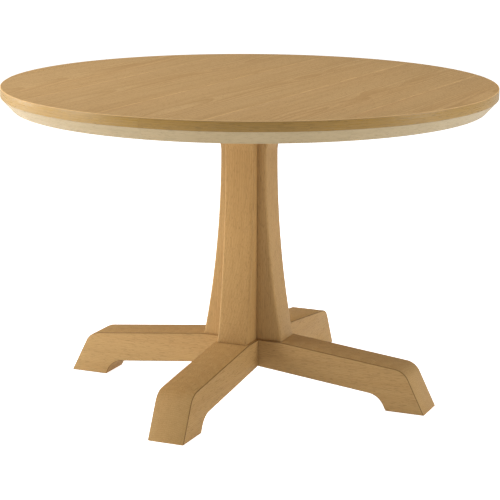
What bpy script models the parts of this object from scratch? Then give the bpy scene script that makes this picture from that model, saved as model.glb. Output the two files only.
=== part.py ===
"""Round pedestal table in oak: a veneered round top with a bevelled under-edge, on a square post
with four flared fins, standing on two cross-lapped feet with slanted toes.

Metres, +Z up. The origin is on the floor, on the column's axis. The feet run along X and Y.
"""

import math

import bmesh
import bpy
from mathutils import Matrix, Vector

# --- Driving dimensions --------------------------------------------------------------------------
TABLE_HEIGHT = 0.769
TOP_RADIUS = 0.600
GAP = 0.0003  # glue line or fit between two pieces that touch

# Top: veneer over a lipped core, and a bevelled ring glued under its rim.
RIM_HEIGHT = 0.0237
VENEER = 0.0015
VENEER_EASING = 0.0010
LIPPING_WIDTH = 0.018
LIPPING_PIECES = 4
BEVEL_HEIGHT = 0.0288
BEVEL_INSET = 0.0274
RING_WIDTH = 0.055
RING_PIECES = 8
RIM_EASING = 0.0012

# Bearers: a halved cross under the top, which the column's upper end is fixed to.
BEARER_LENGTH = 0.700
BEARER_WIDTH = 0.085
BEARER_DEPTH = 0.042
BEARER_END_DEPTH = 0.024
BEARER_TAPER = 0.150
BEARER_END_ROUND = 0.004

# Column: a square post, and on each side of it a fin that flares at the foot and at the neck.
POST_WIDTH = 0.077
NECK_RADIUS = 0.0603
NECK_HEIGHT = 0.604
FIN_BASE_RADIUS = 0.1055
FIN_HEAD_RADIUS = 0.090
HEAD_COVE = 0.075
FIN_EASING = 0.005
TENON_WIDTH = 0.045
FOOT_TENON = 0.020
HEAD_TENON = 0.011
TENON_ROOT = 0.010  # how far a tenon's block runs into the post that it is joined to
SPLINE_WIDTH = 0.008
SPLINE_DEPTH = 0.024
SPLINE_LENGTH = 0.480
SPLINE_BOTTOM = 0.170

# Feet: two beams, sloping down from the column, each ending in two slanted toes.
FOOT_WIDTH = 0.091
SEAT_HEIGHT = 0.140
SEAT_RADIUS = 0.1065
CROSSING_BOTTOM = 0.0727
TOP_FALL = 0.1086
UNDER_FALL = 0.1106
TOE_RADIUS = 0.477
HEEL_RADIUS = 0.3795
TOE_SLANT = 0.4964
HEEL_SLANT = 0.50
TOE_ROUND = 0.043
HEEL_COVE = 0.0487
SOLE_ROUND = 0.001
FOOT_EASING = 0.0015

# Hardware. Each radius is the metal's; the hole round it is GAP larger.
GLIDE_RADIUS = 0.014
GLIDE_FLANGE = 0.0040
GLIDE_PROUD = 0.0010
GLIDE_PIN_RADIUS = 0.0025
GLIDE_PIN_LENGTH = 0.012
FOOT_BOLT = {"at": 0.074, "shank": 0.0037, "head": 0.0065, "head_height": 0.008, "key": 0.0030}
FOOT_BOLT_SEAT = 0.0815
FOOT_INSERT_LENGTH = 0.024
BEARER_BOLT = {"at": 0.300, "shank": 0.0028, "head": 0.0050, "head_height": 0.006, "key": 0.0025}
BEARER_BOLT_SEAT = 0.728
BEARER_INSERT_LENGTH = 0.014
WASHER_THICKNESS = 0.0016
WASHER_OVERHANG = 0.004
INSERT_WALL = 0.0022
BOLT_TIP_MARGIN = 0.003
COLUMN_SCREW = {"at": 0.066, "shank": 0.0025, "head": 0.0052, "head_height": 0.0045}
COLUMN_SCREW_LENGTH = 0.085
COLUMN_SCREW_POINT = 0.010

# --- Heights and radii that follow ---------------------------------------------------------------
TOP_UNDERSIDE = TABLE_HEIGHT - RIM_HEIGHT
CORE_TOP = TABLE_HEIGHT - VENEER - GAP
RING_TOP = TOP_UNDERSIDE - GAP
RING_BOTTOM = RING_TOP - BEVEL_HEIGHT
BEARER_TOP = TOP_UNDERSIDE - GAP
BEARER_BOTTOM = BEARER_TOP - BEARER_DEPTH
BEARER_MIDDLE = (BEARER_TOP + BEARER_BOTTOM) / 2
COLUMN_BOTTOM = SEAT_HEIGHT + GAP
COLUMN_TOP = BEARER_BOTTOM - GAP
FOOT_MIDDLE = (SEAT_HEIGHT + CROSSING_BOTTOM) / 2
POST_HALF = POST_WIDTH / 2
FOOT_HALF = FOOT_WIDTH / 2

SIDES = {"front": -90, "right": 0, "back": 90, "left": 180}  # degrees about Z, from +X
CIRCLE_STEPS = 72
HARDWARE_STEPS = 12
SMALL_ROUND = 0.005  # a corner of a smaller radius gets fewer steps
SMALL_ROUND_STEPS = 2
ROUND_STEPS = 5
FLARE_STEPS = 10
SCREW_MERGE = 0.00001
WELD = 0.000001
FLAT_ANGLE = math.radians(0.1)  # faces that meet at less than this are one flat face
CUTTER_REACH = 0.05  # how far a cutter runs past the face it opens


# --- Scene and materials -------------------------------------------------------------------------
def clear_scene():
    for old in list(bpy.data.objects):
        bpy.data.objects.remove(old, do_unlink=True)


def make_collection(name):
    made = bpy.data.collections.new(name)
    bpy.context.scene.collection.children.link(made)
    return made


def make_material(name, colour, roughness, metallic=0.0):
    made = bpy.data.materials.new(name)
    made.use_nodes = True
    shader = made.node_tree.nodes["Principled BSDF"]
    shader.inputs["Base Color"].default_value = (*colour, 1)
    shader.inputs["Roughness"].default_value = roughness
    shader.inputs["Metallic"].default_value = metallic
    return made


# --- Outlines ------------------------------------------------------------------------------------
def meet(point_a, way_a, point_b, way_b):
    """The point where two lines in a plane cross, each given by a point and a direction."""
    turn = way_a[0] * way_b[1] - way_a[1] * way_b[0]
    apart = (point_b[0] - point_a[0], point_b[1] - point_a[1])
    along = (apart[0] * way_b[1] - apart[1] * way_b[0]) / turn
    return point_a[0] + way_a[0] * along, point_a[1] + way_a[1] * along


def rounded(corners):
    """A closed outline from (x, y, radius) corners, with an arc at each corner that has a radius."""
    outline = []
    for index, (x, y, radius) in enumerate(corners):
        here = Vector((x, y))
        if radius == 0:
            outline.append(here)
            continue
        before = (Vector(corners[index - 1][:2]) - here).normalized()
        after = (Vector(corners[(index + 1) % len(corners)][:2]) - here).normalized()
        half = before.angle(after) / 2
        centre = here + (before + after).normalized() * radius / math.sin(half)
        start = here + before * radius / math.tan(half) - centre
        end = here + after * radius / math.tan(half) - centre
        sweep = start.angle_signed(end)
        steps = SMALL_ROUND_STEPS if radius < SMALL_ROUND else ROUND_STEPS
        for step in range(steps + 1):
            turned = Matrix.Rotation(-sweep * step / steps, 2) @ start
            outline.append(centre + turned)
    return outline


def arc(centre, radius, first, last, steps):
    """Points on a circle from one angle to another, in radians."""
    angles = [first + (last - first) * step / steps for step in range(steps + 1)]
    return [Vector((centre[0] + radius * math.cos(a), centre[1] + radius * math.sin(a))) for a in angles]


# --- Solids --------------------------------------------------------------------------------------
def add_object(name, mesh, material, collection, matrix=None):
    mesh.materials.clear()
    mesh.materials.append(material)
    made = bpy.data.objects.new(name, mesh)
    made.matrix_world = matrix or Matrix()
    collection.objects.link(made)
    return made


def board(name, outline, thickness, material, collection, turn=0.0):
    """An outline in the upright plane of X and Z, thickened about it, and turned about Z in degrees."""
    curve = bpy.data.curves.new(name, "CURVE")
    curve.dimensions = "2D"
    curve.fill_mode = "BOTH"
    curve.extrude = thickness / 2
    spline = curve.splines.new("POLY")
    spline.points.add(len(outline) - 1)
    for point, place in zip(spline.points, outline):
        point.co = (place[0], place[1], 0, 1)
    spline.use_cyclic_u = True
    flat = bpy.data.objects.new(name, curve)
    collection.objects.link(flat)
    graph = bpy.context.evaluated_depsgraph_get()
    mesh = bpy.data.meshes.new_from_object(flat.evaluated_get(graph))
    bpy.data.objects.remove(flat, do_unlink=True)
    bpy.data.curves.remove(curve)
    edit = bmesh.new()
    edit.from_mesh(mesh)
    bmesh.ops.remove_doubles(edit, verts=edit.verts, dist=WELD)
    upright = Matrix.Rotation(math.radians(90), 4, "X")
    bmesh.ops.transform(edit, matrix=upright, verts=edit.verts)
    bmesh.ops.recalc_face_normals(edit, faces=edit.faces)
    bmesh.ops.dissolve_limit(edit, angle_limit=FLAT_ANGLE, verts=edit.verts, edges=edit.edges)
    edit.to_mesh(mesh)
    edit.free()
    return add_object(name, mesh, material, collection, Matrix.Rotation(math.radians(turn), 4, "Z"))


def block(name, low, high, material, collection, turn=0.0):
    """A box between two corners, turned about Z in degrees."""
    edit = bmesh.new()
    bmesh.ops.create_cube(edit, size=1)
    size = Vector(high) - Vector(low)
    middle = (Vector(high) + Vector(low)) / 2
    bmesh.ops.scale(edit, vec=size, verts=edit.verts)
    bmesh.ops.translate(edit, vec=middle, verts=edit.verts)
    mesh = bpy.data.meshes.new(name)
    edit.to_mesh(mesh)
    edit.free()
    return add_object(name, mesh, material, collection, Matrix.Rotation(math.radians(turn), 4, "Z"))


def turned(name, profile, material, collection, steps=HARDWARE_STEPS, place=(0, 0, 0), closed=False):
    """A profile of (radius, z) points swept about its own Z axis. On its outer side it runs downwards."""
    mesh = bpy.data.meshes.new(name)
    count = len(profile)
    edges = [(index, index + 1) for index in range(count - 1)]
    if closed:
        edges.append((count - 1, 0))
    mesh.from_pydata([(point[0], 0, point[1]) for point in profile], edges, [])
    made = add_object(name, mesh, material, collection, Matrix.Translation(place))
    screw = made.modifiers.new("Turn", "SCREW")
    screw.steps = steps
    screw.render_steps = steps
    screw.use_merge_vertices = True
    screw.merge_threshold = SCREW_MERGE
    return made


def ring_piece(name, section, first, sweep, material, collection, steps):
    """A closed section of (radius, z) points, swept about the Z axis through part of a turn."""
    edit = bmesh.new()
    corners = [edit.verts.new((point[0], 0, point[1])) for point in section]
    face = edit.faces.new(corners)
    bmesh.ops.rotate(edit, verts=edit.verts, matrix=Matrix.Rotation(first, 3, "Z"))
    shape = [*edit.verts, *edit.edges, face]
    bmesh.ops.spin(edit, geom=shape, axis=(0, 0, 1), angle=sweep, steps=steps)
    bmesh.ops.recalc_face_normals(edit, faces=edit.faces)
    mesh = bpy.data.meshes.new(name)
    edit.to_mesh(mesh)
    edit.free()
    made = add_object(name, mesh, material, collection)
    mesh.shade_smooth()
    mesh.set_sharp_from_angle(angle=math.radians(30))
    return made


def ease(piece, width, segments, chosen):
    """Rounds the edges whose two ends both pass the test on their (x, y, z)."""
    weights = piece.data.attributes.new("bevel_weight_edge", "FLOAT", "EDGE")
    for edge in piece.data.edges:
        ends = [piece.data.vertices[index].co for index in edge.vertices]
        if chosen(*ends):
            weights.data[edge.index].value = 1.0
    bevel = piece.modifiers.new("Ease", "BEVEL")
    bevel.limit_method = "WEIGHT"
    bevel.width = width
    bevel.segments = segments


def combine(piece, helper, operation):
    helper.hide_render = True
    helper.display_type = "WIRE"
    boolean = piece.modifiers.new(helper.name, "BOOLEAN")
    boolean.operation = operation
    boolean.object = helper


def cut(piece, cutter):
    combine(piece, cutter, "DIFFERENCE")


def join(piece, addition):
    combine(piece, addition, "UNION")


def on_side(side, radius, z=0.0):
    angle = math.radians(SIDES[side])
    return radius * math.cos(angle), radius * math.sin(angle), z


# --- Top -----------------------------------------------------------------------------------------
def make_top(parts, oak, fibreboard):
    veneer_bottom = TABLE_HEIGHT - VENEER
    centre = (TOP_RADIUS - VENEER_EASING, TABLE_HEIGHT - VENEER_EASING)
    arris = arc(centre, VENEER_EASING, math.pi / 2, 0, SMALL_ROUND_STEPS)
    profile = [(0, TABLE_HEIGHT), *arris, (TOP_RADIUS, veneer_bottom), (0, veneer_bottom)]
    turned("top_veneer", profile, oak, parts, CIRCLE_STEPS)

    core_radius = TOP_RADIUS - LIPPING_WIDTH - GAP
    profile = [(0, CORE_TOP), (core_radius, CORE_TOP), (core_radius, TOP_UNDERSIDE), (0, TOP_UNDERSIDE)]
    core = turned("top_core", profile, fibreboard, parts, CIRCLE_STEPS)

    inner = TOP_RADIUS - LIPPING_WIDTH
    lipping = rounded([
        (inner, CORE_TOP, 0),
        (TOP_RADIUS, CORE_TOP, 0),
        (TOP_RADIUS, TOP_UNDERSIDE, RIM_EASING),
        (inner, TOP_UNDERSIDE, 0),
    ])
    make_ring("edge_lipping", lipping, LIPPING_PIECES, oak, parts)

    ring_inner = TOP_RADIUS - RING_WIDTH
    bevel = rounded([
        (ring_inner, RING_TOP, 0),
        (TOP_RADIUS - RIM_EASING, RING_TOP, 0),
        (TOP_RADIUS - BEVEL_INSET, RING_BOTTOM, RIM_EASING),
        (ring_inner, RING_BOTTOM, RIM_EASING),
    ])
    make_ring("bevel_rail", bevel, RING_PIECES, oak, parts)
    return core


def make_ring(name, section, pieces, material, parts):
    turn = 2 * math.pi / pieces
    joint = GAP / TOP_RADIUS
    for index in range(pieces):
        first = turn * index + joint / 2
        steps = CIRCLE_STEPS // pieces
        ring_piece(f"{name}_{index + 1}", section, first, turn - joint, material, parts, steps)


# --- Bearers -------------------------------------------------------------------------------------
def make_bearers(parts, cutters, oak):
    half = BEARER_LENGTH / 2
    end_bottom = BEARER_TOP - BEARER_END_DEPTH
    right = [
        (half, BEARER_TOP, 0),
        (half, end_bottom, BEARER_END_ROUND),
        (half - BEARER_TAPER, BEARER_BOTTOM, 0),
    ]
    left = [(-x, z, radius) for x, z, radius in reversed(right)]
    outline = rounded(right + left)
    crossing = BEARER_WIDTH / 2 + GAP

    lower = board("top_bearer_front_back", outline, BEARER_WIDTH, oak, parts, SIDES["front"])
    notch_low = (-crossing, -crossing, BEARER_MIDDLE - GAP / 2)
    notch_high = (crossing, crossing, BEARER_TOP + CUTTER_REACH)
    cut(lower, block("bearer_notch_upper", notch_low, notch_high, oak, cutters))
    mortise = TENON_WIDTH / 2 + GAP
    mortise_low = (-mortise, -mortise, BEARER_BOTTOM - CUTTER_REACH)
    mortise_high = (mortise, mortise, BEARER_BOTTOM + HEAD_TENON + GAP)
    cut(lower, block("bearer_mortise", mortise_low, mortise_high, oak, cutters))

    upper = board("top_bearer_left_right", outline, BEARER_WIDTH, oak, parts, SIDES["right"])
    notch_low = (-crossing, -crossing, BEARER_BOTTOM - CUTTER_REACH)
    notch_high = (crossing, crossing, BEARER_MIDDLE + GAP / 2)
    cut(upper, block("bearer_notch_lower", notch_low, notch_high, oak, cutters))
    return {"front": lower, "back": lower, "left": upper, "right": upper}


# --- Column --------------------------------------------------------------------------------------
def make_post(parts, cutters, oak):
    """A square post with a stub tenon at each end."""
    low = (-POST_HALF, -POST_HALF, COLUMN_BOTTOM)
    high = (POST_HALF, POST_HALF, COLUMN_TOP)
    post = block("centre_post", low, high, oak, parts)
    tenon = TENON_WIDTH / 2
    for name, bottom, top in (
        ("foot_tenon", COLUMN_BOTTOM - FOOT_TENON, COLUMN_BOTTOM + TENON_ROOT),
        ("head_tenon", COLUMN_TOP - TENON_ROOT, COLUMN_TOP + HEAD_TENON),
    ):
        join(post, block(name, (-tenon, -tenon, bottom), (tenon, tenon, top), oak, cutters))
    return post


def fin_outline():
    """Inner face on the post, long concave flare down to the seat, and a short cove up to the head."""
    rise = NECK_HEIGHT - COLUMN_BOTTOM
    spread = FIN_BASE_RADIUS - NECK_RADIUS
    flare = (rise**2 + spread**2) / (2 * spread)
    sweep = math.asin(rise / flare)
    lower = arc((NECK_RADIUS + flare, NECK_HEIGHT), flare, math.pi + sweep, math.pi, FLARE_STEPS)
    head = math.acos((HEAD_COVE - (FIN_HEAD_RADIUS - NECK_RADIUS)) / HEAD_COVE)
    upper = arc((NECK_RADIUS + HEAD_COVE, NECK_HEIGHT), HEAD_COVE, math.pi, math.pi - head, ROUND_STEPS)
    inner = POST_HALF + GAP
    return [(inner, COLUMN_BOTTOM), *lower, *upper[1:], (FIN_HEAD_RADIUS, COLUMN_TOP), (inner, COLUMN_TOP)]


def make_fins(parts, cutters, oak, beech, post):
    outline = fin_outline()
    fins = {}
    for side, turn in SIDES.items():
        fin = board(f"fin_{side}", outline, POST_WIDTH, oak, parts, turn)
        ease(fin, FIN_EASING, SMALL_ROUND_STEPS, is_outer_arris)
        fins[side] = fin
        make_spline(side, turn, fin, post, parts, cutters, beech)
    return fins


def is_outer_arris(start, end):
    """True for an edge that runs up a fin's outer face, on one of its sides."""
    inner = POST_HALF + 2 * GAP
    return start.x > inner and end.x > inner and abs(start.y - end.y) < GAP


def make_spline(side, turn, fin, post, parts, cutters, beech):
    """A loose tongue, half in the post and half in the fin, in a groove in each."""
    half_width = SPLINE_WIDTH / 2
    half_depth = SPLINE_DEPTH / 2
    top = SPLINE_BOTTOM + SPLINE_LENGTH
    low = (POST_HALF - half_depth, -half_width, SPLINE_BOTTOM)
    high = (POST_HALF + half_depth, half_width, top)
    block(f"spline_{side}", low, high, beech, parts, turn)
    clear = Vector((GAP, GAP, GAP))
    groove = block(f"spline_groove_{side}", Vector(low) - clear, Vector(high) + clear, beech, cutters, turn)
    cut(post, groove)
    cut(fin, groove)


# --- Feet ----------------------------------------------------------------------------------------
def foot_outline():
    seat_edge = (SEAT_RADIUS, SEAT_HEIGHT)
    sole = GLIDE_PROUD
    toe = (TOE_RADIUS, sole)
    heel = (HEEL_RADIUS, sole)
    under_edge = (FOOT_HALF, CROSSING_BOTTOM)
    crest = meet(seat_edge, (1, -TOP_FALL), toe, (-TOE_SLANT, 1))
    arch = meet(under_edge, (1, -UNDER_FALL), heel, (-HEEL_SLANT, 1))
    right = [
        (*seat_edge, 0),
        (*crest, TOE_ROUND),
        (*toe, SOLE_ROUND),
        (*heel, SOLE_ROUND),
        (*arch, HEEL_COVE),
        (*under_edge, 0),
    ]
    left = [(-x, z, radius) for x, z, radius in reversed(right)]
    return rounded(right + left)


def make_feet(parts, cutters, oak):
    outline = foot_outline()
    crossing = FOOT_HALF + GAP
    lower = board("foot_beam_front_back", outline, FOOT_WIDTH, oak, parts, SIDES["front"])
    upper = board("foot_beam_left_right", outline, FOOT_WIDTH, oak, parts, SIDES["right"])
    for beam in (lower, upper):
        ease(beam, FOOT_EASING, SMALL_ROUND_STEPS, is_long_arris)

    notch_low = (-crossing, -crossing, FOOT_MIDDLE - GAP / 2)
    notch_high = (crossing, crossing, SEAT_HEIGHT + CUTTER_REACH)
    cut(lower, block("foot_notch_upper", notch_low, notch_high, oak, cutters))
    notch_low = (-crossing, -crossing, CROSSING_BOTTOM - CUTTER_REACH)
    notch_high = (crossing, crossing, FOOT_MIDDLE + GAP / 2)
    cut(upper, block("foot_notch_lower", notch_low, notch_high, oak, cutters))
    mortise = TENON_WIDTH / 2 + GAP
    mortise_low = (-mortise, -mortise, COLUMN_BOTTOM - FOOT_TENON - GAP)
    mortise_high = (mortise, mortise, SEAT_HEIGHT + CUTTER_REACH)
    cut(upper, block("foot_mortise", mortise_low, mortise_high, oak, cutters))
    return {"front": lower, "back": lower, "left": upper, "right": upper}


def is_long_arris(start, end):
    return abs(start.y - end.y) < GAP


# --- Hardware ------------------------------------------------------------------------------------
def make_glide(side, foot, parts, cutters, nylon):
    at = on_side(side, (TOE_RADIUS + HEEL_RADIUS) / 2)
    pin_top = GLIDE_FLANGE + GLIDE_PIN_LENGTH
    edge = GLIDE_PROUD / 2
    profile = [
        (0, pin_top), (GLIDE_PIN_RADIUS, pin_top), (GLIDE_PIN_RADIUS, GLIDE_FLANGE),
        (GLIDE_RADIUS, GLIDE_FLANGE), (GLIDE_RADIUS, edge), (GLIDE_RADIUS - edge, 0), (0, 0),
    ]
    turned(f"glide_{side}", profile, nylon, parts, place=at)
    recess = [
        (0, pin_top + GAP), (GLIDE_PIN_RADIUS + GAP, pin_top + GAP),
        (GLIDE_PIN_RADIUS + GAP, GLIDE_FLANGE + GAP), (GLIDE_RADIUS + GAP, GLIDE_FLANGE + GAP),
        (GLIDE_RADIUS + GAP, -CUTTER_REACH), (0, -CUTTER_REACH),
    ]
    cut(foot, turned(f"glide_recess_{side}", recess, nylon, cutters, place=at))


def make_bolt(name, side, bolt, seat, tip, parts, cutters, steel):
    """A socket-head bolt that points up, with its washer. seat is the face that the washer bears on."""
    at = on_side(side, bolt["at"])
    head_top = seat - WASHER_THICKNESS - 2 * GAP
    head_bottom = head_top - bolt["head_height"]
    profile = [
        (0, tip), (bolt["shank"], tip), (bolt["shank"], head_top),
        (bolt["head"], head_top), (bolt["head"], head_bottom), (0, head_bottom),
    ]
    made = turned(f"{name}_{side}", profile, steel, parts, place=at)
    key = turned(f"{name}_socket_{side}", [
        (0, head_bottom + bolt["head_height"] / 2), (bolt["key"], head_bottom + bolt["head_height"] / 2),
        (bolt["key"], head_bottom - CUTTER_REACH), (0, head_bottom - CUTTER_REACH),
    ], steel, cutters, steps=6, place=at)
    cut(made, key)
    bore = bolt["shank"] + GAP
    rim = bolt["head"] + WASHER_OVERHANG
    washer_low = seat - WASHER_THICKNESS - GAP
    washer_high = seat - GAP
    tube = [(bore, washer_high), (rim, washer_high), (rim, washer_low), (bore, washer_low)]
    turned(f"{name}_washer_{side}", tube, steel, parts, place=at, closed=True)


def make_insert(name, side, bolt, low, high, brass, parts):
    bore = bolt["shank"] + GAP
    outside = bore + INSERT_WALL
    tube = [(bore, high), (outside, high), (outside, low), (bore, low)]
    turned(f"{name}_{side}", tube, brass, parts, place=on_side(side, bolt["at"]), closed=True)


def drill(name, side, bolt, profile, piece, metal, cutters):
    """Takes a turned hole, given by its profile, out of a piece."""
    cut(piece, turned(f"{name}_{side}", profile, metal, cutters, place=on_side(side, bolt["at"])))


def stepped_hole(bolt, low, seat, high):
    """The profile of a clearance hole with a counterbore under it for the head and the washer."""
    bore = bolt["shank"] + GAP
    rim = bolt["head"] + WASHER_OVERHANG + GAP
    return [(0, high), (bore, high), (bore, seat), (rim, seat), (rim, low), (0, low)]


def insert_hole(bolt, low, high):
    """The profile of the blind hole that a threaded insert sits in."""
    rim = bolt["shank"] + INSERT_WALL + 2 * GAP
    return [(0, high + GAP), (rim, high + GAP), (rim, low), (0, low)]


def make_foot_bolt(side, foot, fin, parts, cutters, steel, brass):
    """Through the foot from below, into a threaded insert in the fin."""
    low = COLUMN_BOTTOM
    high = low + FOOT_INSERT_LENGTH
    tip = high - BOLT_TIP_MARGIN
    make_bolt("foot_bolt", side, FOOT_BOLT, FOOT_BOLT_SEAT, tip, parts, cutters, steel)
    make_insert("foot_insert", side, FOOT_BOLT, low, high, brass, parts)
    through = stepped_hole(FOOT_BOLT, 0, FOOT_BOLT_SEAT, SEAT_HEIGHT + CUTTER_REACH)
    drill("foot_bolt_hole", side, FOOT_BOLT, through, foot, steel, cutters)
    blind = insert_hole(FOOT_BOLT, low - CUTTER_REACH, high)
    drill("foot_insert_hole", side, FOOT_BOLT, blind, fin, brass, cutters)


def make_bearer_bolt(side, bearer, core, parts, cutters, steel, brass):
    """Through the bearer from below, into a threaded insert in the top's core."""
    low = TOP_UNDERSIDE
    high = low + BEARER_INSERT_LENGTH
    tip = high - BOLT_TIP_MARGIN
    make_bolt("bearer_bolt", side, BEARER_BOLT, BEARER_BOLT_SEAT, tip, parts, cutters, steel)
    make_insert("top_insert", side, BEARER_BOLT, low, high, brass, parts)
    start = BEARER_BOTTOM - CUTTER_REACH
    through = stepped_hole(BEARER_BOLT, start, BEARER_BOLT_SEAT, BEARER_TOP + CUTTER_REACH)
    drill("bearer_bolt_hole", side, BEARER_BOLT, through, bearer, steel, cutters)
    blind = insert_hole(BEARER_BOLT, low - CUTTER_REACH, high)
    drill("top_insert_hole", side, BEARER_BOLT, blind, core, brass, cutters)


def make_column_screw(side, bearer, fin, parts, cutters, steel):
    """Down through the bearer into the fin's head, with its own head flush in the bearer."""
    at = on_side(side, COLUMN_SCREW["at"])
    top = BEARER_TOP - GAP
    neck = top - COLUMN_SCREW["head_height"]
    bottom = BEARER_TOP - COLUMN_SCREW_LENGTH
    taper = bottom + COLUMN_SCREW_POINT
    profile = [
        (0, top), (COLUMN_SCREW["head"], top), (COLUMN_SCREW["shank"], neck),
        (COLUMN_SCREW["shank"], taper), (0, bottom),
    ]
    turned(f"column_screw_{side}", profile, steel, parts, place=at)
    head = COLUMN_SCREW["head"] + GAP
    shank = COLUMN_SCREW["shank"] + GAP
    hole = [
        (0, BEARER_TOP + CUTTER_REACH), (head, BEARER_TOP + CUTTER_REACH), (head, top - GAP),
        (shank, neck - GAP), (shank, bottom - GAP), (0, bottom - GAP),
    ]
    cutter = turned(f"column_screw_hole_{side}", hole, steel, cutters, place=at)
    cut(bearer, cutter)
    cut(fin, cutter)


# --- Table ---------------------------------------------------------------------------------------
def main():
    clear_scene()
    parts = make_collection("round_pedestal_table")
    cutters = make_collection("cutters")
    oak = make_material("light_oak", (0.53, 0.34, 0.16), 0.42)
    beech = make_material("beech", (0.58, 0.40, 0.24), 0.60)
    fibreboard = make_material("core_board", (0.42, 0.31, 0.19), 0.75)
    steel = make_material("zinc_plated_steel", (0.62, 0.62, 0.60), 0.35, 1.0)
    brass = make_material("brass", (0.72, 0.55, 0.26), 0.35, 1.0)
    nylon = make_material("grey_nylon", (0.30, 0.27, 0.23), 0.55)

    core = make_top(parts, oak, fibreboard)
    bearers = make_bearers(parts, cutters, oak)
    post = make_post(parts, cutters, oak)
    fins = make_fins(parts, cutters, oak, beech, post)
    feet = make_feet(parts, cutters, oak)
    for side in SIDES:
        make_glide(side, feet[side], parts, cutters, nylon)
        make_foot_bolt(side, feet[side], fins[side], parts, cutters, steel, brass)
        make_bearer_bolt(side, bearers[side], core, parts, cutters, steel, brass)
        make_column_screw(side, bearers[side], fins[side], parts, cutters, steel)


main()
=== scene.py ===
"""The looks of the round pedestal table: lacquered light oak, its hardware, a pale floor and soft light.

Everything is in metres in the frame's own axes: the feet run along X and Y, and the floor is at 0.
"""

import math
import random

import bmesh
import bpy
from mathutils import Matrix, Vector


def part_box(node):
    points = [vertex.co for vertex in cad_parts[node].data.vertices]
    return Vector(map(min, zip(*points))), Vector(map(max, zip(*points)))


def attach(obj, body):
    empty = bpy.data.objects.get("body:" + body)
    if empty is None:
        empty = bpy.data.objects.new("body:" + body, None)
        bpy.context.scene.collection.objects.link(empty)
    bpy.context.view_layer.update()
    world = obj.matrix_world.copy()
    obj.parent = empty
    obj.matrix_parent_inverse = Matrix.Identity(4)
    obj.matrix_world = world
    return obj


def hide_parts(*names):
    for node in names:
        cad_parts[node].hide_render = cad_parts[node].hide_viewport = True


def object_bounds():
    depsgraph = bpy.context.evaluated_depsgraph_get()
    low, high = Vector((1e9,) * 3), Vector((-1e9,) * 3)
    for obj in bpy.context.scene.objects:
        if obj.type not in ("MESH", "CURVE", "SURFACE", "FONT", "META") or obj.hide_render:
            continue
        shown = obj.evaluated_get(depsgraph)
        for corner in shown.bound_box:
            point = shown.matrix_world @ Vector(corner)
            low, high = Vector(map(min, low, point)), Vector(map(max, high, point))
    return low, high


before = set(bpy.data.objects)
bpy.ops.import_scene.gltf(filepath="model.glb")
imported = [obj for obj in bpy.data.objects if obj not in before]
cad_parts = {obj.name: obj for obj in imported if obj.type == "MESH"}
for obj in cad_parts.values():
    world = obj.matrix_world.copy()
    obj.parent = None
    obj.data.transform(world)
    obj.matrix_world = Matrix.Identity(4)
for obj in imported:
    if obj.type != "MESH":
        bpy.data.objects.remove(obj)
CAD_LOW, CAD_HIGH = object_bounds()

# --- Camera --------------------------------------------------------------------------------------
CAMERA_AZIMUTH = 23.325  # degrees round from the front foot towards the right foot
CAMERA_YAW = -0.033  # degrees that it turns away from the column's axis
CAMERA_DISTANCE = 4.3935  # from the column's axis, over the floor
CAMERA_HEIGHT = 1.3588
CAMERA_PITCH = 12.8816  # degrees down
CAMERA_ROLL = 0.2797  # degrees
CAMERA_LENS = 131.2  # millimetres, as is the sensor's width
CAMERA_SENSOR = 36.0

# --- Light ---------------------------------------------------------------------------------------
FILL = 0.125  # the world's strength where it lights the table
FLOOR_GLOW = 0.375  # the floor's own light where it lights the table
BACKDROP = 1.0  # how bright the floor and the world look to the camera
LIGHTS_AIM = 0.5  # the height on the column's axis that every softbox faces
FLOOR_HALF = 60  # from the column's axis to the floor's edge
SOFTBOXES = (  # name, bearing, distance, height, (width, height of the light itself), watts
    ("softbox_left", -75, 3.2, 1.3, (1.2, 1.8), 66),
    ("softbox_left_rear", -110, 3.2, 1.3, (1.2, 1.8), 58),
    ("softbox_left_high", -120, 2.5, 2.6, (1.4, 1.2), 14),
    ("softbox_right", 75, 3.2, 1.3, (1.2, 1.8), 43),
    ("softbox_right_high", 120, 2.5, 2.6, (1.4, 1.2), 12),
    ("softbox_above", 0, 0.01, 3.4, (2.6, 2.6), 66),
)

# --- Colours, in linear light --------------------------------------------------------------------
VENEER_TONES = ((0.457, 0.297, 0.136), (0.334, 0.194, 0.072))  # an oak's light tone and its dark one
EDGE_TONES = ((0.407, 0.243, 0.055), (0.294, 0.162, 0.032))
# The bevel's oak is paler and greyer than the rim's: painted reflection of the bright floor on the bevel,
# which faces down and out.
BEVEL_REFLECTION_TONES = ((0.480, 0.382, 0.230), (0.371, 0.274, 0.140))
BASE_TONES = ((0.513, 0.322, 0.129), (0.379, 0.211, 0.070))
# The base oak made paler and greyer: painted sheen of the side softboxes on the right and left fins and on
# the left-right foot.
SHEEN_TONES = ((0.520, 0.337, 0.145), (0.386, 0.222, 0.080))
SANDED_TONES = ((0.42, 0.275, 0.13), (0.31, 0.185, 0.075))
CORE_COLOUR = (0.42, 0.27, 0.12)
ZINC_COLOUR = (0.62, 0.62, 0.60)
BRASS_COLOUR = (0.72, 0.52, 0.22)
NYLON_COLOUR = (0.20, 0.17, 0.14)
FLOOR_COLOURS = ((0.85, 0.85, 0.85), (0.88, 0.88, 0.88))

# --- Oak: how often each feature changes in a metre, along the grain and across it ----------------
RINGS_PER_METRE = 240
DRIFT = (0.9, 5, 5)  # how the growth rings wander
FIBRE = (9, 420, 420)
STREAK = (1.6, 60, 60)
TONE = (1.2, 9, 9)
PORE = (70, 1000, 1000)
DASH = (22, 380, 380)  # the longest pores
BREAKS = (14, 60, 60)  # where the pale line between two leaves fades

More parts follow.
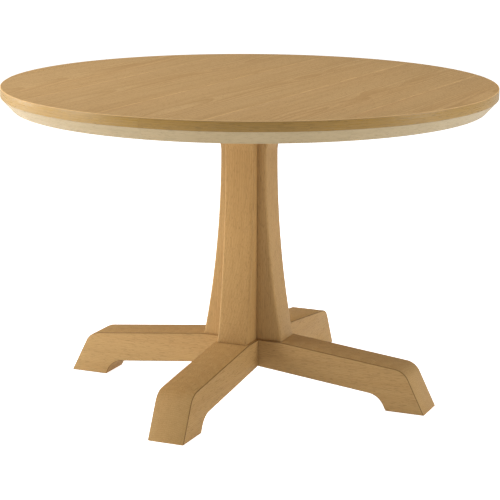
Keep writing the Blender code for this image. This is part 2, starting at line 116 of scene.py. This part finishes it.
WARMER = (1.03, 0.92, 0.80)  # the light tone times this is its warm one
DEEP_SHARE = 0.4  # the dark tone times this is the tone in the pores
PALE_SHARE = 1.45  # the light tone times this is the pale one, for the joints between leaves and for the painted highlight on the veneer's edge
WARM_PART = 0.35  # from here on, how far each feature changes the tone at the most
FIBRE_PART = 0.20
PORE_PART = 0.50
DASH_PART = 0.28
ARRIS_PART = 0.8
SEAM_PART = 0.6
VENEER_HIGHLIGHT_PART = 0.8
PORE_ROUGHNESS = 0.2
FIBRE_RELIEF = 0.35  # against the depth of a pore
CARRIED_ORIGIN = (0, 0.04, -0.60)  # puts the pith of the carried-over pieces outside them

# --- Shapes that the CAD boxes don't give --------------------------------------------------------
GAP = 0.0003  # between two pieces that touch
LEAF_WIDTH = 0.250
LEAF_OFFSET = 0.068  # from the column's axis to the nearest joint between leaves
LEAF_TURN = 86.2  # degrees from X to the leaves' grain
VENEER_EASING = 0.0012
VENEER_HIGHLIGHT_FROM = 0.5978  # painted highlight: the veneer's eased edge is paler between these two radii, where the softboxes would glint
VENEER_HIGHLIGHT_TO = 0.5988
RIM_EASING = 0.0012
LIPPING_WIDTH = 0.018
RING_WIDTH = 0.055
BEVEL_INSET = 0.0274
SEAM_HALF = 0.0032  # from the middle of the line between two leaves to where it has faded out
SEAM_CORE = 0.0006
CIRCLE_STEPS = 288

NECK_RADIUS = 0.0603  # from the column's axis to a fin's outer face, where that is closest
NECK_HEIGHT = 0.604
FIN_HEAD_RADIUS = 0.090
HEAD_COVE = 0.075  # the radius of the curve above the neck
FIN_EASING = 0.005
FIN_FOOT_EASING = 0.0012

SEAT_RADIUS = 0.1065  # the level part of a foot, under the fins
CROSSING_BOTTOM = 0.0727
TOP_FALL = 0.1086  # how far a foot falls for each metre outwards, above and below
UNDER_FALL = 0.1106
TOE_RADIUS = 0.477  # from the column's axis to the two ends of a sole
HEEL_RADIUS = 0.3795
TOE_SLANT = 0.4964  # how far a toe's end leans inwards for each metre up, outside and inside
HEEL_SLANT = 0.50
TOE_ROUND = 0.043
HEEL_COVE = 0.0487
FOOT_EASING = 0.0018
SOLE_EASING = 0.0008
ARRIS_BAND = (0.02, 0.95)  # the part of a foot's rounded edge that is darker, as shares of the rounding

SIDES = {"front": -90, "right": 0, "back": 90, "left": 180}  # degrees about Z, from +X


# --- Node helpers --------------------------------------------------------------------------------
class Graph:
    """A material's node tree, built one node a call."""

    def __init__(self, name, turn=None):
        self.turn = turn
        self.material = bpy.data.materials.new(name)
        self.material.use_nodes = True
        self.tree = self.material.node_tree
        self.shader = self.tree.nodes["Principled BSDF"]

    def feed(self, socket, value):
        if isinstance(value, bpy.types.NodeSocket):
            self.tree.links.new(value, socket)
        else:
            socket.default_value = value

    def node(self, kind, output=0, settings=None, **inputs):
        made = self.tree.nodes.new(kind)
        for key, value in (settings or {}).items():
            setattr(made, key, value)
        for key, value in inputs.items():
            self.feed(made.inputs[key.replace("_", " ")], value)
        return made.outputs[output]

    def math(self, operation, first, second=0.0, clamp=False):
        made = self.tree.nodes.new("ShaderNodeMath")
        made.operation = operation
        made.use_clamp = clamp
        self.feed(made.inputs[0], first)
        self.feed(made.inputs[1], second)
        return made.outputs[0]

    def grain_space(self, scale, offset=(0, 0, 0)):
        """The piece's own coordinates, along the grain and across it, scaled.

        A material with a turn has no stored coordinates to read, so it takes the object's, turned.
        """
        if self.turn is None:
            grain = self.node("ShaderNodeAttribute", "Vector", {"attribute_name": "grain"})
        else:
            place = self.node("ShaderNodeTexCoord", "Object")
            grain = self.node("ShaderNodeMapping", Vector=place, Rotation=self.turn, Location=CARRIED_ORIGIN)
        return self.node("ShaderNodeMapping", Vector=grain, Location=offset, Scale=scale)

    def noise(self, vector, scale=1.0, detail=2.0, roughness=0.5):
        return self.node("ShaderNodeTexNoise", Vector=vector, Scale=scale, Detail=detail, Roughness=roughness)

    def leaf_edge(self):
        """How far a point of the top is from the nearest joint between leaves."""
        place = self.node("ShaderNodeTexCoord", "Object")
        turned = self.node("ShaderNodeMapping", Vector=place, Rotation=(0, 0, math.radians(-LEAF_TURN)))
        across = self.node("ShaderNodeSeparateXYZ", 1, Vector=turned)
        return self.math("PINGPONG", self.math("SUBTRACT", across, LEAF_OFFSET), LEAF_WIDTH / 2)

    def from_axis(self):
        """How far a point is from the Z axis."""
        place = self.node("ShaderNodeTexCoord", "Object")
        level = self.node("ShaderNodeMapping", Vector=place, Scale=(1, 1, 0))
        return self.node("ShaderNodeVectorMath", "Value", {"operation": "LENGTH"}, Vector=level)

    def remap(self, value, low, high, to_low=0.0, to_high=1.0):
        made = self.tree.nodes.new("ShaderNodeMapRange")
        made.interpolation_type = "SMOOTHSTEP"
        for index, number in enumerate((value, low, high, to_low, to_high)):
            self.feed(made.inputs[index], number)
        return made.outputs[0]

    def mix(self, share, first, second, blend="MIX"):
        made = self.tree.nodes.new("ShaderNodeMix")
        made.data_type = "RGBA"
        made.blend_type = blend
        self.feed(made.inputs[0], share)
        self.feed(made.inputs[6], first if isinstance(first, bpy.types.NodeSocket) else (*first, 1))
        self.feed(made.inputs[7], second if isinstance(second, bpy.types.NodeSocket) else (*second, 1))
        return made.outputs[2]

    def finish(self, colour, roughness, bump=None, bump_strength=0.2, bump_distance=0.0003, **shader):
        self.feed(self.shader.inputs["Base Color"], colour)
        self.feed(self.shader.inputs["Roughness"], roughness)
        for key, value in shader.items():
            self.shader.inputs[key.replace("_", " ")].default_value = value
        if bump is not None:
            normal = self.node("ShaderNodeBump", Height=bump, Strength=bump_strength, Distance=bump_distance)
            self.feed(self.shader.inputs["Normal"], normal)
        return self.material


def oak(name, tones, wander, roughness, gloss=0.5, seams_and_highlight=False, turn=None, figure=0.28, streaks=0.25):
    """Oak in three dimensions: growth rings round a pith line, fibres, pores and slow changes of tone."""
    light, dark = tones
    graph = Graph(name, turn)
    drift = graph.noise(graph.grain_space(DRIFT), 1.0, 3.0)
    shift = graph.math("MULTIPLY", graph.math("SUBTRACT", drift, 0.5), wander)
    from_pith = graph.grain_space((0, 1, 1))
    distance = graph.node("ShaderNodeVectorMath", "Value", {"operation": "LENGTH"}, Vector=from_pith)
    ring = graph.math("FRACT", graph.math("MULTIPLY", graph.math("ADD", distance, shift), RINGS_PER_METRE))
    late = graph.math("MULTIPLY", graph.remap(ring, 0.2, 0.85), graph.remap(ring, 1.0, 0.9))

    fibre = graph.noise(graph.grain_space(FIBRE), 1.0, 3.0, 0.6)
    streak = graph.noise(graph.grain_space(STREAK), 1.0, 3.0, 0.65)
    tone = graph.noise(graph.grain_space(TONE, (3, 5, 1)), 1.0, 2.0)
    early = graph.remap(ring, 0.75, 0.1, 0.45, 1.0)
    pore = graph.remap(graph.noise(graph.grain_space(PORE), 1.0, 1.0), 0.58, 0.68)
    pore = graph.math("MULTIPLY", pore, early)
    dash = graph.remap(graph.noise(graph.grain_space(DASH, (7, 2, 4)), 1.0, 1.0), 0.62, 0.74)
    dash = graph.math("MULTIPLY", dash, graph.remap(tone, 0.35, 0.6, 0.25, 1.0))

    warm = tuple(channel * factor for channel, factor in zip(light, WARMER))
    deep = tuple(channel * DEEP_SHARE for channel in dark)
    colour = graph.mix(graph.remap(tone, 0.35, 0.7, 0.0, WARM_PART), light, warm)
    colour = graph.mix(graph.math("MULTIPLY", late, figure), colour, dark)
    colour = graph.mix(graph.remap(streak, 0.4, 0.72, 0.0, streaks), colour, dark)
    colour = graph.mix(graph.remap(fibre, 0.3, 0.7, FIBRE_PART, 0.0), colour, dark)
    colour = graph.mix(graph.math("MULTIPLY", pore, PORE_PART), colour, deep)
    colour = graph.mix(graph.math("MULTIPLY", dash, DASH_PART), colour, deep)
    arris = graph.node("ShaderNodeAttribute", "Fac", {"attribute_name": "arris"})
    colour = graph.mix(graph.math("MULTIPLY", arris, ARRIS_PART), colour, deep)
    if seams_and_highlight:
        pale = tuple(min(1.0, channel * PALE_SHARE) for channel in light)
        line = graph.remap(graph.leaf_edge(), SEAM_HALF, SEAM_CORE)
        broken = graph.remap(graph.noise(graph.grain_space(BREAKS), 1.0, 1.0), 0.35, 0.6, 0.10, SEAM_PART)
        colour = graph.mix(graph.math("MULTIPLY", line, broken), colour, pale)
        # Painted highlight: the veneer's eased edge turns pale all round, in place of the softboxes' glint
        # along the rim.
        colour = graph.mix(graph.remap(graph.from_axis(), VENEER_HIGHLIGHT_FROM, VENEER_HIGHLIGHT_TO, 0.0, VENEER_HIGHLIGHT_PART), colour, pale)

    rough = graph.remap(fibre, 0.2, 0.8, roughness + 0.05, roughness - 0.05)
    rough = graph.math("ADD", rough, graph.math("MULTIPLY", pore, PORE_ROUGHNESS))
    relief = graph.math("SUBTRACT", graph.math("MULTIPLY", fibre, FIBRE_RELIEF), pore)
    return graph.finish(colour, rough, relief, 0.25, 0.00025, Specular_IOR_Level=gloss)


def metal(name, colour, roughness):
    """Plated or turned metal, with fine scratches round the axis and small dull patches."""
    graph = Graph(name)
    place = graph.node("ShaderNodeTexCoord", "Object")
    fine = graph.noise(graph.node("ShaderNodeMapping", Vector=place, Scale=(900, 900, 2600)), 1.0, 2.0)
    patches = graph.noise(place, 120.0, 3.0)
    dull = tuple(channel * 0.72 for channel in colour)
    shade = graph.mix(graph.remap(patches, 0.35, 0.7, 0.0, 0.6), colour, dull)
    rough = graph.remap(fine, 0.3, 0.7, roughness - 0.06, roughness + 0.10)
    return graph.finish(shade, rough, fine, 0.15, 0.00005, Metallic=1.0)


def moulded(name, colour):
    """Moulded nylon, with a fine even texture and scuffs."""
    graph = Graph(name)
    place = graph.node("ShaderNodeTexCoord", "Object")
    texture = graph.noise(place, 2400.0, 2.0)
    scuffs = graph.noise(place, 260.0, 4.0, 0.7)
    worn = tuple(min(1.0, channel * 1.5) for channel in colour)
    shade = graph.mix(graph.remap(scuffs, 0.55, 0.75, 0.0, 0.5), colour, worn)
    return graph.finish(shade, graph.remap(scuffs, 0.4, 0.7, 0.48, 0.66), texture, 0.2, 0.00008)


def fibreboard(name, colour):
    """Sanded board with short fibres in every direction."""
    graph = Graph(name)
    place = graph.node("ShaderNodeTexCoord", "Object")
    specks = graph.noise(place, 900.0, 4.0, 0.7)
    clouds = graph.noise(place, 14.0, 3.0)
    dark = tuple(channel * 0.78 for channel in colour)
    shade = graph.mix(graph.remap(specks, 0.35, 0.7, 0.0, 0.7), colour, dark)
    shade = graph.mix(graph.remap(clouds, 0.4, 0.7, 0.0, 0.35), shade, dark)
    return graph.finish(shade, 0.8, specks, 0.3, 0.0002)


# --- Outlines ------------------------------------------------------------------------------------
def meet(point_a, way_a, point_b, way_b):
    """The point where two lines in a plane cross, each given by a point and a direction."""
    turn = way_a[0] * way_b[1] - way_a[1] * way_b[0]
    apart = (point_b[0] - point_a[0], point_b[1] - point_a[1])
    along = (apart[0] * way_b[1] - apart[1] * way_b[0]) / turn
    return point_a[0] + way_a[0] * along, point_a[1] + way_a[1] * along


def rounded(corners, steps=12):
    """A closed outline from (x, y, radius) corners, with an arc at each corner that has a radius."""
    outline = []
    for index, (x, y, radius) in enumerate(corners):
        here = Vector((x, y))
        if radius == 0:
            outline.append(here)
            continue
        before = (Vector(corners[index - 1][:2]) - here).normalized()
        after = (Vector(corners[(index + 1) % len(corners)][:2]) - here).normalized()
        half = before.angle(after) / 2
        centre = here + (before + after).normalized() * radius / math.sin(half)
        start = here + before * radius / math.tan(half) - centre
        end = here + after * radius / math.tan(half) - centre
        sweep = start.angle_signed(end)
        for step in range(steps + 1):
            outline.append(centre + Matrix.Rotation(-sweep * step / steps, 2) @ start)
    return outline


def arc(centre, radius, first, last, steps):
    """Points on a circle from one angle to another, in radians."""
    angles = [first + (last - first) * step / steps for step in range(steps + 1)]
    return [Vector((centre[0] + radius * math.cos(a), centre[1] + radius * math.sin(a))) for a in angles]


# --- Meshes --------------------------------------------------------------------------------------
def add_piece(name, edit, material, matrix=None):
    """Makes an object of the mesh being edited, and closes the edit."""
    mesh = bpy.data.meshes.new(name)
    bmesh.ops.recalc_face_normals(edit, faces=edit.faces)
    edit.to_mesh(mesh)
    edit.free()
    made = bpy.data.objects.new(name, mesh)
    made.matrix_world = matrix or Matrix()
    bpy.context.scene.collection.objects.link(made)
    mesh.materials.append(material)
    return made


def slab(name, outline, thickness, material, turn=0.0):
    """An outline in the upright plane of X and Z, thickened about it, and turned about Z in degrees."""
    edit = bmesh.new()
    corners = [edit.verts.new((point[0], -thickness / 2, point[1])) for point in outline]
    face = edit.faces.new(corners)
    moved = bmesh.ops.extrude_face_region(edit, geom=[face])["geom"]
    ends = [item for item in moved if isinstance(item, bmesh.types.BMVert)]
    bmesh.ops.translate(edit, verts=ends, vec=(0, thickness, 0))
    return add_piece(name, edit, material, Matrix.Rotation(math.radians(turn), 4, "Z"))


def ring_part(name, section, first, sweep, steps, material):
    """A closed section of (radius, z) points, swept about the Z axis through part of a turn."""
    edit = bmesh.new()
    corners = [edit.verts.new((point[0], 0, point[1])) for point in section]
    face = edit.faces.new(corners)
    bmesh.ops.rotate(edit, verts=edit.verts, matrix=Matrix.Rotation(first, 3, "Z"))
    shape = [*edit.verts, *edit.edges, face]
    bmesh.ops.spin(edit, geom=shape, axis=(0, 0, 1), angle=sweep, steps=steps)
    return add_piece(name, edit, material)


def ease(piece, width, segments, chosen):
    """Rounds each edge by the share of the width that the test gives for the edge's two ends."""
    weights = piece.data.attributes.new("bevel_weight_edge", "FLOAT", "EDGE")
    for edge in piece.data.edges:
        ends = [piece.data.vertices[index].co for index in edge.vertices]
        weights.data[edge.index].value = chosen(*ends)
    bevel = piece.modifiers.new("Ease", "BEVEL")
    bevel.limit_method = "WEIGHT"
    bevel.width = width
    bevel.segments = segments


def notch(piece, low, high):
    """Takes a box out of a piece, and leaves the cutter out of the scene."""
    edit = bmesh.new()
    bmesh.ops.create_cube(edit, size=1)
    bmesh.ops.scale(edit, vec=Vector(high) - Vector(low), verts=edit.verts)
    bmesh.ops.translate(edit, vec=(Vector(high) + Vector(low)) / 2, verts=edit.verts)
    cutter = add_piece(piece.name + "_notch", edit, piece.data.materials[0])
    boolean = piece.modifiers.new("Notch", "BOOLEAN")
    boolean.object = cutter
    settle(piece)
    bpy.data.objects.remove(cutter, do_unlink=True)


def settle(piece):
    """Applies a piece's modifiers."""
    graph = bpy.context.evaluated_depsgraph_get()
    mesh = bpy.data.meshes.new_from_object(piece.evaluated_get(graph))
    piece.modifiers.clear()
    piece.data = mesh


def complete(piece, stands_for, grain, smooth=30.0):
    """Applies the modifiers, shades the piece, writes its grain coordinates and ties it to the frame."""
    settle(piece)
    mesh = piece.data
    mesh.shade_smooth()
    mesh.set_sharp_from_angle(angle=math.radians(smooth))
    values = mesh.attributes.new("grain", "FLOAT_VECTOR", "POINT")
    for index, vertex in enumerate(mesh.vertices):
        values.data[index].vector = grain(vertex.co)
    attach(piece, "root")
    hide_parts(*stands_for)
    return piece


def pith(seed, depth, side):
    """A piece's own place in a log: an offset along the grain, and how far beside and below the pith is."""
    chooser = random.Random(seed)
    along = chooser.uniform(0, 20)
    beside = side + chooser.uniform(-0.02, 0.02)
    below = depth + chooser.uniform(0, 0.03)
    return Vector((along, beside, below))


# --- Top -----------------------------------------------------------------------------------------
def make_top(veneer_oak, edge_oak, bevel_reflection_oak):
    """The leaves of veneer, the lipping that is the rim, and the bevelled rails under it."""
    low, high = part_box("top_veneer")
    radius = high.x
    along = Matrix.Rotation(math.radians(LEAF_TURN), 4, "Z")
    first = -math.ceil(radius / LEAF_WIDTH) - 1
    number = 0
    for step in range(first, -first + 1):
        start = LEAF_OFFSET + step * LEAF_WIDTH
        if start > radius or start + LEAF_WIDTH < -radius:
            continue
        number += 1
        make_leaf(number, start, start + LEAF_WIDTH, radius, low.z, high.z, along, veneer_oak)

    inner = radius - LIPPING_WIDTH
    low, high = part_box("edge_lipping_1")
    section = rounded([
        (inner, high.z, 0), (radius, high.z, 0), (radius, low.z, RIM_EASING), (inner, low.z, 0),
    ], steps=4)
    make_ring("edge_lipping", section, 4, edge_oak)

    inner = radius - RING_WIDTH
    low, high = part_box("bevel_rail_1")
    section = rounded([
        (inner, high.z, 0), (radius - RIM_EASING, high.z, 0),
        (radius - BEVEL_INSET, low.z, RIM_EASING), (inner, low.z, RIM_EASING),
    ], steps=4)
    # The bevel rails take the oak that has the floor's reflection painted in.
    make_ring("bevel_rail", section, 8, bevel_reflection_oak)


def make_leaf(number, start, end, radius, bottom, top, along, material):
    """One leaf of veneer: the part of the disc between two joints. Leaf joints run along the leaf's own X."""
    edit = bmesh.new()
    bmesh.ops.create_circle(edit, cap_ends=True, radius=radius, segments=CIRCLE_STEPS)
    for place, way in ((start, -1), (end, 1)):
        shape = [*edit.verts, *edit.edges, *edit.faces]
        bmesh.ops.bisect_plane(
            edit, geom=shape, plane_co=(0, place, 0), plane_no=(0, way, 0), clear_outer=True,
        )
    moved = bmesh.ops.extrude_face_region(edit, geom=list(edit.faces))["geom"]
    ends = [item for item in moved if isinstance(item, bmesh.types.BMVert)]
    bmesh.ops.translate(edit, verts=ends, vec=(0, 0, bottom - top))
    bmesh.ops.translate(edit, verts=edit.verts, vec=(0, 0, top))
    leaf = add_piece(f"veneer_leaf_{number}", edit, material)

    def on_rim(a, b):
        return float(min(a.xy.length, b.xy.length) > radius - GAP and min(a.z, b.z) > top - GAP)

    ease(leaf, VENEER_EASING, 3, on_rim)
    middle = (start + end) / 2
    log = pith(number, depth=0.10, side=0.0)
    complete(leaf, ["top_veneer"], lambda co: co + log - Vector((0, middle, top)))
    leaf.data.transform(along)


def make_ring(name, section, pieces, material):
    """A ring of equal pieces, each with its grain round the rim."""
    turn = 2 * math.pi / pieces
    joint = GAP / CAD_HIGH.x
    for index in range(pieces):
        first = turn * index + joint / 2
        node = f"{name}_{index + 1}"
        piece = ring_part(node + "_oak", section, first, turn - joint, CIRCLE_STEPS // pieces, material)
        log = pith(node, depth=0.05, side=0.04)

        def round_the_rim(co, log=log, first=first):
            angle = (math.atan2(co.y, co.x) - first + math.pi / 2) % (2 * math.pi)
            return Vector((angle * CAD_HIGH.x, co.xy.length - CAD_HIGH.x, co.z - CAD_HIGH.z)) + log

        complete(piece, [node], round_the_rim)


# --- Column --------------------------------------------------------------------------------------
def fin_outline(inner, base, bottom, top):
    """Inner face on the post, long concave flare down to the seat, and a short cove up to the head."""
    rise = NECK_HEIGHT - bottom
    spread = base - NECK_RADIUS
    flare = (rise**2 + spread**2) / (2 * spread)
    sweep = math.asin(rise / flare)
    lower = arc((NECK_RADIUS + flare, NECK_HEIGHT), flare, math.pi + sweep, math.pi, 40)
    head = math.acos((HEAD_COVE - (FIN_HEAD_RADIUS - NECK_RADIUS)) / HEAD_COVE)
    upper = arc((NECK_RADIUS + HEAD_COVE, NECK_HEIGHT), HEAD_COVE, math.pi, math.pi - head, 16)
    return [(inner, bottom), *lower, *upper[1:], (FIN_HEAD_RADIUS, top), (inner, top)]


def make_fins(materials):
    """The four fins, eased along their outer edges, and less at the foot."""
    low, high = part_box("fin_right")
    outline = fin_outline(low.x, high.x, low.z, high.z)
    width = high.y - low.y

    def arris(a, b):
        outer = min(a.x, b.x) > low.x + GAP
        if outer and abs(a.y - b.y) < GAP:
            return 1.0
        at_foot = max(a.z, b.z) < low.z + GAP
        return FIN_FOOT_EASING / FIN_EASING if at_foot and outer else 0.0

    for side, turn in SIDES.items():
        fin = slab(f"fin_{side}_oak", outline, width, materials[side], turn)
        ease(fin, FIN_EASING, 5, arris)
        log = pith(f"fin_{side}", depth=0.05, side=0.12)
        complete(fin, [f"fin_{side}"], lambda co, log=log: Vector((co.z, co.y, co.x)) + log)


# --- Feet ----------------------------------------------------------------------------------------
def foot_outline(seat, sole, half_width):
    """A foot from the side: level at the middle, falling to two slanted toes, and arched between them."""
    seat_edge = (SEAT_RADIUS, seat)
    toe = (TOE_RADIUS, sole)
    heel = (HEEL_RADIUS, sole)
    under_edge = (half_width, CROSSING_BOTTOM)
    crest = meet(seat_edge, (1, -TOP_FALL), toe, (-TOE_SLANT, 1))
    arch = meet(under_edge, (1, -UNDER_FALL), heel, (-HEEL_SLANT, 1))
    right = [
        (*seat_edge, 0), (*crest, TOE_ROUND), (*toe, 0),
        (*heel, 0), (*arch, HEEL_COVE), (*under_edge, 0),
    ]
    left = [(-x, z, radius) for x, z, radius in reversed(right)]
    return rounded(right + left)


def make_feet(materials):
    """The two feet, halved where they cross: one is notched from above and the other from below."""
    low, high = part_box("foot_beam_left_right")
    width = high.y - low.y
    outline = foot_outline(high.z, low.z, width / 2)
    crossing = width / 2 + GAP
    middle = (high.z + CROSSING_BOTTOM) / 2
    below = Vector((-crossing, -crossing, 0))
    above = Vector((crossing, crossing, high.z + CROSSING_BOTTOM))
    halves = {
        "front_back": (Vector((*below.xy, middle - GAP / 2)), above),
        "left_right": (below, Vector((*above.xy, middle + GAP / 2))),
    }

    def arris(a, b):
        if abs(a.y - b.y) < GAP:
            return 1.0
        return SOLE_EASING / FOOT_EASING if max(a.z, b.z) < low.z + GAP else 0.0

    for name, turn in (("front_back", SIDES["front"]), ("left_right", SIDES["right"])):
        beam = slab(f"foot_beam_{name}_oak", outline, width, materials[name], turn)
        ease(beam, FOOT_EASING, 4, arris)
        notch(beam, *halves[name])
        log = pith(f"foot_{name}", depth=0.09, side=0.02)
        complete(beam, [f"foot_beam_{name}"], lambda co, log=log: co + log)
        mark_arrises(beam, width / 2)


def mark_arrises(beam, half_width):
    """Marks the rounded edges along a foot, which the finish leaves darker."""
    values = beam.data.attributes.new("arris", "FLOAT", "POINT")
    for index, vertex in enumerate(beam.data.vertices):
        inset = half_width - abs(vertex.co.y)
        share = inset / FOOT_EASING
        values.data[index].value = float(ARRIS_BAND[0] < share < ARRIS_BAND[1])


# --- Carried-over pieces -------------------------------------------------------------------------
def paint_carried_over(painters):
    """Gives each CAD node that still shows its own material."""
    for name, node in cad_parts.items():
        if node.hide_render:
            continue
        for start, material in painters:
            if name.startswith(start):
                node.data.materials.clear()
                node.data.materials.append(material)


# --- Stage ---------------------------------------------------------------------------------------
def make_camera():
    """The camera looks at the column from in front and above, and turns a little off the column's axis."""
    data = bpy.data.cameras.new("camera")
    data.lens = CAMERA_LENS
    data.sensor_width = CAMERA_SENSOR
    camera = bpy.data.objects.new("camera", data)
    bpy.context.scene.collection.objects.link(camera)
    azimuth = math.radians(CAMERA_AZIMUTH)
    place = Vector((math.sin(azimuth), -math.cos(azimuth), 0)) * CAMERA_DISTANCE
    turn = Matrix.Rotation(azimuth + math.radians(CAMERA_YAW), 4, "Z")
    tilt = Matrix.Rotation(math.radians(90 - CAMERA_PITCH), 4, "X")
    roll = Matrix.Rotation(math.radians(CAMERA_ROLL), 4, "Z")
    camera.matrix_world = Matrix.Translation(place + Vector((0, 0, CAMERA_HEIGHT))) @ turn @ tilt @ roll
    bpy.context.scene.camera = camera


def seen_or_cast(tree, cast):
    """A strength that is the backdrop's to the camera, and another one where it lights things."""
    path = tree.nodes.new("ShaderNodeLightPath")
    strength = tree.nodes.new("ShaderNodeMapRange")
    strength.inputs["To Min"].default_value = cast
    strength.inputs["To Max"].default_value = BACKDROP
    tree.links.new(path.outputs["Is Camera Ray"], strength.inputs["Value"])
    return strength.outputs["Result"]


def make_floor():
    """A pale floor that glows a little on the table from below, and looks plain white to the camera."""
    edit = bmesh.new()
    bmesh.ops.create_grid(edit, x_segments=1, y_segments=1, size=FLOOR_HALF)
    graph = Graph("pale_floor")
    place = graph.node("ShaderNodeTexCoord", "Object")
    shade = graph.mix(graph.remap(graph.noise(place, 0.8, 2.0), 0.3, 0.7), *FLOOR_COLOURS)
    material = graph.finish(shade, 0.7, Specular_IOR_Level=0.2, Emission_Color=(1, 1, 1, 1))
    graph.feed(graph.shader.inputs["Emission Strength"], seen_or_cast(graph.tree, FLOOR_GLOW))
    add_piece("floor", edit, material)


def add_softbox(name, bearing, distance, height, size, power):
    """A rectangular light. Its bearing is in degrees round the table, from the camera towards its right."""
    turn = math.radians(CAMERA_AZIMUTH + bearing)
    place = Vector((math.sin(turn) * distance, -math.cos(turn) * distance, height))
    data = bpy.data.lights.new(name, "AREA")
    data.shape = "RECTANGLE"
    data.size, data.size_y = size
    data.energy = power
    light = bpy.data.objects.new(name, data)
    bpy.context.scene.collection.objects.link(light)
    light.location = place
    light.rotation_euler = (Vector((0, 0, LIGHTS_AIM)) - place).to_track_quat("-Z", "Y").to_euler()


def make_light():
    """Soft light from both sides and above, and a dim world that looks white to the camera."""
    world = bpy.data.worlds.new("studio")
    world.use_nodes = True
    tree = world.node_tree
    background = tree.nodes["Background"]
    background.inputs["Color"].default_value = (1, 1, 1, 1)
    tree.links.new(seen_or_cast(tree, FILL), background.inputs["Strength"])
    bpy.context.scene.world = world
    bpy.context.scene.view_settings.view_transform = "Standard"
    for softbox in SOFTBOXES:
        add_softbox(*softbox)


def main():
    veneer_oak = oak(
        "oak_veneer", VENEER_TONES, wander=0.05, roughness=0.55, gloss=0.10, seams_and_highlight=True,
        figure=0.65, streaks=0.45,
    )
    edge_oak = oak("oak_edge", EDGE_TONES, wander=0.015, roughness=0.30)
    bevel_reflection_oak = oak("oak_bevel_painted_reflection", BEVEL_REFLECTION_TONES, wander=0.015, roughness=0.46, gloss=0.20)
    base_oak = oak("oak_base", BASE_TONES, wander=0.006, roughness=0.50, gloss=0.12)
    sheen_oak = oak("oak_base_painted_sheen", SHEEN_TONES, wander=0.006, roughness=0.50, gloss=0.12)
    quarter = math.radians(90)
    turns = {"x": (0, 0, 0), "y": (0, 0, quarter), "z": (0, quarter, 0)}
    carried = {
        axis: oak(f"oak_along_{axis}", SANDED_TONES, wander=0.01, roughness=0.62, gloss=0.1, turn=turn)
        for axis, turn in turns.items()
    }
    core = fibreboard("core_board", CORE_COLOUR)
    zinc = metal("zinc_steel", ZINC_COLOUR, 0.32)
    brass = metal("brass", BRASS_COLOUR, 0.30)
    nylon = moulded("nylon", NYLON_COLOUR)

    make_camera()
    make_floor()
    make_light()
    make_top(veneer_oak, edge_oak, bevel_reflection_oak)
    # The right and left fins and the left-right foot take the oak that has the painted sheen.
    make_fins({"front": base_oak, "right": sheen_oak, "back": base_oak, "left": sheen_oak})
    make_feet({"front_back": base_oak, "left_right": sheen_oak})
    paint_carried_over([
        ("top_core", core), ("centre_post", carried["z"]), ("spline", carried["z"]),
        ("top_bearer_left_right", carried["x"]), ("top_bearer_front_back", carried["y"]),
        ("foot_bolt", zinc), ("bearer_bolt", zinc), ("column_screw", zinc),
        ("foot_insert", brass), ("top_insert", brass), ("glide", nylon),
    ])


main()
